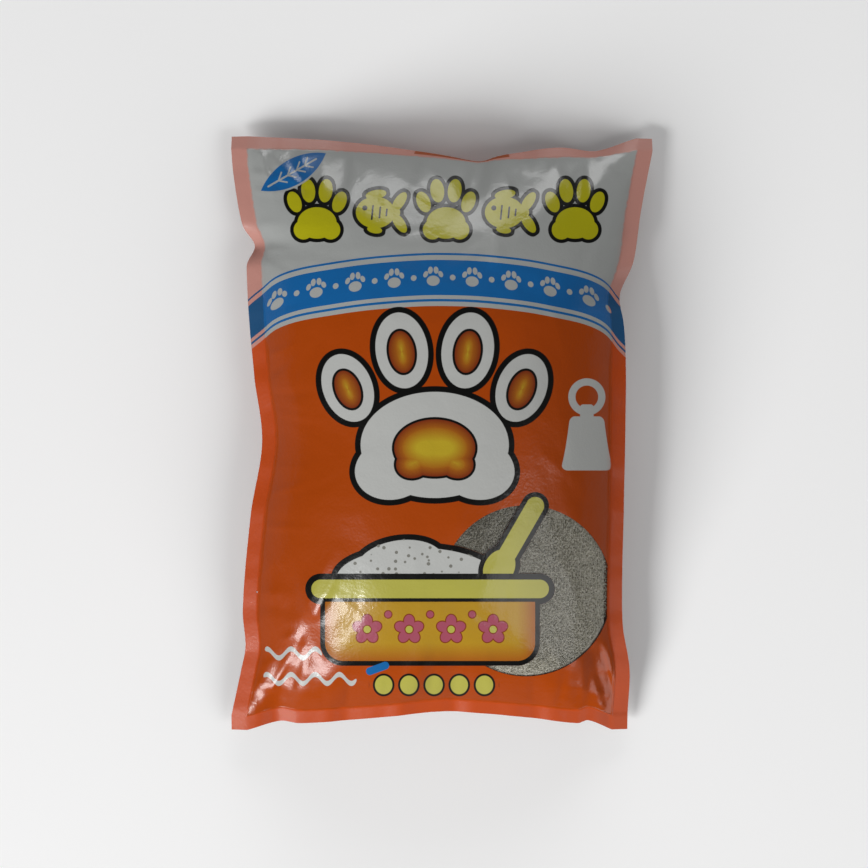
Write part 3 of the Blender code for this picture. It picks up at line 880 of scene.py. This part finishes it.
# Granules press into the film from below, which gives it a fine pebbled feel between the creases
PEBBLE = 1.613 * MM
PEBBLE_DEPTH = 0.12 * MM
SLACK_WIDTH = 11.11 * MM
SLACK_DEPTH = 0.7 * MM
RIDGE_DEPTH = 0.3 * MM
RIDGE_HALF_WIDTH_MM = 0.9
object_place = add(tree, "ShaderNodeTexCoord").outputs["Object"]
pebbles = add(
    tree, "ShaderNodeTexVoronoi", {"Vector": object_place, "Scale": 1 / PEBBLE}, feature="SMOOTH_F1"
).outputs["Distance"]
slack = add(
    tree, "ShaderNodeTexNoise",
    {"Vector": object_place, "Scale": 1 / SLACK_WIDTH, "Detail": 3.0, "Roughness": 0.55},
).outputs[0]
fine = add(
    tree, "ShaderNodeBump", {"Height": pebbles, "Strength": 0.5, "Distance": PEBBLE_DEPTH}
).outputs[0]
loose = add(
    tree, "ShaderNodeBump", {"Height": slack, "Normal": fine, "Strength": 0.5, "Distance": SLACK_DEPTH}
).outputs[0]

# A fine ridge runs along the seams, where the jaws pinched the film
from_seam = add(tree, "ShaderNodeMath", {0: past_seam}, operation="ABSOLUTE").outputs[0]
ridge = add(
    tree, "ShaderNodeMapRange",
    {"Value": from_seam, "From Max": RIDGE_HALF_WIDTH_MM, "To Min": 1.0, "To Max": 0.0},
    interpolation_type="SMOOTHSTEP",
).outputs[0]
loose = add(
    tree, "ShaderNodeBump", {"Height": ridge, "Normal": loose, "Strength": 0.6, "Distance": RIDGE_DEPTH}
).outputs[0]

# The hot jaws that pressed the welds left them duller than the loose film, as (loose film, weld)
DULLNESS = (0.28, 0.52)
LUSTRE = (0.15, 0.05)
film_dullness, film_lustre = (
    add(
        tree, "ShaderNodeMapRange", {"Value": past_seam, "To Min": on_film, "To Max": on_weld}
    ).outputs[0]
    for on_film, on_weld in (DULLNESS, LUSTRE)
)
ink_surface = add(
    tree, "ShaderNodeBsdfPrincipled",
    {
        "Base Color": print_colour, "Roughness": film_dullness, "IOR": 1.4, "Metallic": 0.0,
        "Normal": loose, "Coat Weight": film_lustre, "Coat Roughness": 0.1, "Coat Normal": loose,
    },
)
through = add(tree, "ShaderNodeBsdfTransparent", {"Color": (0.93, 0.92, 0.90, 1)})
shine = add(tree, "ShaderNodeBsdfGlossy", {"Roughness": 0.18, "Normal": loose})
fresnel = add(tree, "ShaderNodeFresnel", {"IOR": 1.35, "Normal": loose})
clear_film = add(
    tree, "ShaderNodeMixShader",
    {"Fac": fresnel.outputs[0], 1: through.outputs[0], 2: shine.outputs[0]},
)
surface = add(
    tree, "ShaderNodeMixShader",
    {"Fac": clear, 1: ink_surface.outputs[0], 2: clear_film.outputs[0]},
)
add(tree, "ShaderNodeOutputMaterial", {"Surface": surface.outputs[0]})
film.data.materials.append(material)

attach(film, "root")
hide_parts("film_bag")

# Litter bed: the mass of clay litter that fills the pouch, dry grey granules of one to two millimetres,
# packed against the film. It is one closed body just inside the film, since only its surface can be seen.

BED_GAP = 1.1 * MM
BED_GAP_SHARE = 0.3
BED_OFF_BACK = 0.3 * MM
BED_STEP = 3

inner = slice(STRIP_ROWS + 1, -STRIP_ROWS - 1, BED_STEP)
room = (front - back)[..., 2:]
sunk = np.minimum(BED_GAP, room * BED_GAP_SHARE)
bed_top = (front + (moved_out(front, -1.0) - front) * sunk)[inner, inner]
bed_under = moved_out(back, BED_OFF_BACK)[inner, inner]
points = np.concatenate((bed_top.reshape(-1, 3), bed_under.reshape(-1, 3)))
bed = new_piece("litter_bed", points, np.concatenate(shell_faces(*bed_top.shape[:2])).tolist())
bed.data.shade_smooth()

# Dry clay: dull and dusty, in a mix of light greys, with lumps the size of its grains
BED_GRAIN = 1.25 * MM
BED_LUMP = 0.6 * MM
material, tree = new_material("dry_clay_bed")
object_place = add(tree, "ShaderNodeTexCoord").outputs["Object"]
grains = add(tree, "ShaderNodeTexVoronoi", {"Vector": object_place, "Scale": 1 / BED_GRAIN})
tone = add(tree, "ShaderNodeSeparateColor", {0: grains.outputs["Color"]}).outputs[0]
ramp = add(tree, "ShaderNodeValToRGB", {"Fac": tone})
ramp.color_ramp.elements[0].color = linear("#aeaca2")
ramp.color_ramp.elements[1].color = linear("#dedcd3")
lumps = add(
    tree, "ShaderNodeBump",
    {"Height": grains.outputs["Distance"], "Strength": 0.9, "Distance": BED_LUMP},
    invert=True,
).outputs[0]
clay = add(
    tree, "ShaderNodeBsdfPrincipled",
    {"Base Color": ramp.outputs[0], "Roughness": 0.95, "IOR": 1.5, "Metallic": 0.0, "Normal": lumps},
)
add(tree, "ShaderNodeOutputMaterial", {"Surface": clay.outputs[0]})
bed.data.materials.append(material)

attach(bed, "root")
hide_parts("litter_fill")

# Litter granules: the loose clay grains that lie against the clear window, each an angular crumb of one to
# two millimetres. They rest between the film and the bed, in two layers.

GRAIN_SEED = 5
GRAIN_PITCH = 1.42 * MM
GRAIN_RADIUS = (0.52 * MM, 0.95 * MM)
GRAIN_JITTER = 0.42
CORNER_SPREAD = (0.72, 1.12)
FLATNESS = (0.75, 1.0)
LAYER_DEPTH = 0.85 * MM
OFF_FILM = 0.05 * MM
WINDOW_CENTRE = (54.7 * MM, -102.9 * MM)
WINDOW_RADIUS = 57.5 * MM

# No granules are made where the print covers the window: under the tray, as a box, under the heap, as an
# oval, and beyond the right seam
UNDER_TRAY_RIGHT = 58 * MM
UNDER_TRAY_TOP = -101 * MM
UNDER_TRAY_FOOT = -146 * MM
UNDER_HEAP = (-17 * MM, -97 * MM)
UNDER_HEAP_HALF = (50 * MM, 19 * MM)
RIGHT_LIMIT = 113.5 * MM

# The search for the cell of film over a place: how many steps it takes, and the most cells in one step
SEARCH_STEPS = 60
LONGEST_STEP = 12

random = np.random.default_rng(GRAIN_SEED)

# A crumb starts as an icosahedron of radius 1, whose corners are then pulled in or out at random
golden = (1 + 5 ** 0.5) / 2
crumb = np.array([
    (-1, golden, 0), (1, golden, 0), (-1, -golden, 0), (1, -golden, 0), (0, -1, golden), (0, 1, golden),
    (0, -1, -golden), (0, 1, -golden), (golden, 0, -1), (golden, 0, 1), (-golden, 0, -1), (-golden, 0, 1),
]) / (1 + golden ** 2) ** 0.5
crumb_faces = np.array([
    (0, 11, 5), (0, 5, 1), (0, 1, 7), (0, 7, 10), (0, 10, 11), (1, 5, 9), (5, 11, 4), (11, 10, 2), (10, 7, 6),
    (7, 1, 8), (3, 9, 4), (3, 4, 2), (3, 2, 6), (3, 6, 8), (3, 8, 9), (4, 9, 5), (2, 4, 11), (6, 2, 10),
    (8, 6, 7), (9, 8, 1),
])


def shares_of_cell(step_i, step_j, gap):
    """Where plan places lie in their cells, as shares of each cell's two sides."""
    area = step_i[:, 0] * step_j[:, 1] - step_i[:, 1] * step_j[:, 0]
    u = (gap[:, 0] * step_j[:, 1] - gap[:, 1] * step_j[:, 0]) / area
    v = (step_i[:, 0] * gap[:, 1] - step_i[:, 1] * gap[:, 0]) / area
    return u, v


def surface_at(x, y):
    """Points and upward normals of the inside of the front film over plan places."""
    normal_grid = moved_out(front, 1.0) - front
    places = np.stack((x, y), -1)
    low_i = np.full(len(x), rows // 2)
    low_j = np.full(len(x), columns // 2)
    for _ in range(SEARCH_STEPS):
        here = front[low_i, low_j]
        step_i = front[low_i + 1, low_j] - here
        step_j = front[low_i, low_j + 1] - here
        u, v = shares_of_cell(step_i, step_j, places - here[:, :2])
        low_i += np.clip(np.floor(u), -LONGEST_STEP, LONGEST_STEP).astype(int)
        low_j += np.clip(np.floor(v), -LONGEST_STEP, LONGEST_STEP).astype(int)
        low_i = np.clip(low_i, STRIP_ROWS, rows - STRIP_ROWS - 2)
        low_j = np.clip(low_j, STRIP_ROWS, columns - STRIP_ROWS - 2)
    here = front[low_i, low_j]
    step_i = front[low_i + 1, low_j] - here
    step_j = front[low_i, low_j + 1] - here
    u, v = shares_of_cell(step_i, step_j, places - here[:, :2])
    point = here + step_i * u[:, None] + step_j * v[:, None]
    return point, normal_grid[low_i, low_j]


steps = np.arange(-WINDOW_RADIUS, WINDOW_RADIUS, GRAIN_PITCH)
grid_x, grid_y = (line.ravel() for line in np.meshgrid(steps, steps))
centres = []
for layer in (0, 1):
    jitter = random.uniform(-GRAIN_JITTER, GRAIN_JITTER, (2, len(grid_x))) * GRAIN_PITCH
    x = WINDOW_CENTRE[0] + grid_x + jitter[0] + layer * GRAIN_PITCH / 2
    y = WINDOW_CENTRE[1] + grid_y + jitter[1] + layer * GRAIN_PITCH / 2
    in_window = (np.hypot(x - WINDOW_CENTRE[0], y - WINDOW_CENTRE[1]) < WINDOW_RADIUS) & (x < RIGHT_LIMIT)
    under_tray = (x < UNDER_TRAY_RIGHT) & (y < UNDER_TRAY_TOP) & (y > UNDER_TRAY_FOOT)
    heap_x = (x - UNDER_HEAP[0]) / UNDER_HEAP_HALF[0]
    heap_y = (y - UNDER_HEAP[1]) / UNDER_HEAP_HALF[1]
    keep = in_window & ~under_tray & (heap_x ** 2 + heap_y ** 2 >= 1)
    point, normal = surface_at(x[keep], y[keep])
    size = random.uniform(*GRAIN_RADIUS, keep.sum())
    centres.append((point - normal * (size + OFF_FILM + LAYER_DEPTH * layer)[:, None], size))
centre = np.concatenate([c for c, _ in centres])
size = np.concatenate([r for _, r in centres])
grain_count = len(centre)
turn = np.linalg.qr(random.normal(size=(grain_count, 3, 3)))[0]
corners = len(crumb)
bumpy = crumb[None] * random.uniform(*CORNER_SPREAD, (grain_count, corners, 1))
bumpy = bumpy * random.uniform(*FLATNESS, (grain_count, 1, 3))
points = np.einsum("nij,nkj->nki", turn, bumpy) * size[:, None, None] + centre[:, None]
flipped = np.linalg.det(turn) < 0
faces = crumb_faces[None] + (np.arange(grain_count) * corners)[:, None, None]
faces[flipped] = faces[flipped][:, :, ::-1]
granules = new_piece("litter_granules", points.reshape(-1, 3), faces.reshape(-1, 3).tolist())
tones = np.repeat(random.uniform(0, 1, (grain_count, 2)), corners, axis=0)
seen_at(granules.data, "Tone", tones)

# Crumbs of dry clay: dull, and each of its own grey
material, tree = new_material("dry_clay_grain")
tone = add(tree, "ShaderNodeSeparateXYZ", {0: add(tree, "ShaderNodeUVMap", uv_map="Tone").outputs[0]})
ramp = add(tree, "ShaderNodeValToRGB", {"Fac": tone.outputs[0]})
GRAIN_TONES = ((0.0, "#9c998b"), (0.35, "#b9b6a9"), (0.75, "#cfccc0"), (1.0, "#e4e3da"))
ramp.color_ramp.elements[0].color = linear(GRAIN_TONES[0][1])
ramp.color_ramp.elements[1].color = linear(GRAIN_TONES[-1][1])
for at, colour in GRAIN_TONES[1:-1]:
    ramp.color_ramp.elements.new(at).color = linear(colour)
clay = add(
    tree, "ShaderNodeBsdfPrincipled",
    {"Base Color": ramp.outputs[0], "Roughness": 0.95, "IOR": 1.5, "Metallic": 0.0},
)
add(tree, "ShaderNodeOutputMaterial", {"Surface": clay.outputs[0]})
granules.data.materials.append(material)

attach(granules, "root")
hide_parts("litter_fill")

# Floor, light and camera: a plain pale floor under the bag, soft light that comes mostly from the bag's foot
# and its left side, and a camera straight above.

FLOOR_HALF = 12
floor_points = np.array([(-1, -1, 0), (1, -1, 0), (1, 1, 0), (-1, 1, 0)]) * FLOOR_HALF
floor = new_piece("floor", floor_points, [(0, 1, 2, 3)])

# The floor shows pale to the camera, and darker to the bag, so that its white doesn't lie on the glossy film
material, tree = new_material("pale_floor")
ray = add(tree, "ShaderNodeLightPath").outputs
FLOOR_SEEN = (0.95, 0.95, 0.95, 1)
FLOOR_MIRRORED = (0.24, 0.24, 0.24, 1)
FLOOR_LIGHTING = (0.16, 0.16, 0.16, 1)
floor_tone = inked(FLOOR_LIGHTING, FLOOR_MIRRORED, ray["Is Glossy Ray"])
floor_tone = inked(floor_tone, FLOOR_SEEN, ray["Is Camera Ray"])
pale = add(
    tree, "ShaderNodeBsdfPrincipled",
    {"Base Color": floor_tone, "Roughness": 0.9, "Metallic": 0.0},
)
add(tree, "ShaderNodeOutputMaterial", {"Surface": pale.outputs[0]})
floor.data.materials.append(material)

WORLD_LIGHTING = 0.08
WORLD_SEEN = 0.90
world = bpy.data.worlds.new("studio")
bpy.context.scene.world = world
world.use_nodes = True
tree = world.node_tree
tree.nodes.clear()
seen = add(tree, "ShaderNodeLightPath").outputs["Is Camera Ray"]
strength = add(
    tree, "ShaderNodeMapRange", {"Value": seen, "To Min": WORLD_LIGHTING, "To Max": WORLD_SEEN}
).outputs[0]
sky = add(tree, "ShaderNodeBackground", {"Color": (1, 1, 1, 1), "Strength": strength})
add(tree, "ShaderNodeOutputWorld", {"Surface": sky.outputs[0]})

# Each lamp's name, place in metres, diameter in metres and power in watts. The large ones stand low enough
# that the level film doesn't mirror them upwards, which keeps its colours clear.
LAMP_AIM = Vector((0, 0, 0.04))
LAMPS = (
    ("key", (-3.0, -3.2, 2.5), 2.3, 235.0),
    ("fill", (2.9, -2.6, 3.0), 4.0, 96.0),
    ("top", (0.3, 5.0, 1.15), 3.2, 138.0),
    ("glint", (-1.5, -2.3, 2.2), 0.16, 4.0),
)
for name, spot, size, power in LAMPS:
    lamp = bpy.data.lights.new(name, "AREA")
    lamp.shape = "DISK"
    lamp.size = size
    lamp.energy = power
    holder = bpy.data.objects.new(name, lamp)
    holder.location = spot
    holder.rotation_euler = (LAMP_AIM - Vector(spot)).to_track_quat("-Z", "Y").to_euler()
    bpy.context.scene.collection.objects.link(holder)

# The photo takes in 0.5787 m at the level of the seams, and its middle is a little off the bag's
FRAME_WIDTH = 0.5787
FRAME_MIDDLE = (-0.0053, -0.0007)
SENSOR_WIDTH = 36
camera_data = bpy.data.cameras.new("camera")
camera_data.sensor_width = SENSOR_WIDTH
camera_data.lens = SENSOR_WIDTH * (EYE_HEIGHT - SEAM_LEVEL) / FRAME_WIDTH
camera_data.clip_end = 20
camera = bpy.data.objects.new("camera", camera_data)
camera.location = (*FRAME_MIDDLE, EYE_HEIGHT)
bpy.context.scene.collection.objects.link(camera)
bpy.context.scene.camera = camera
bpy.context.scene.view_settings.view_transform = "Standard"
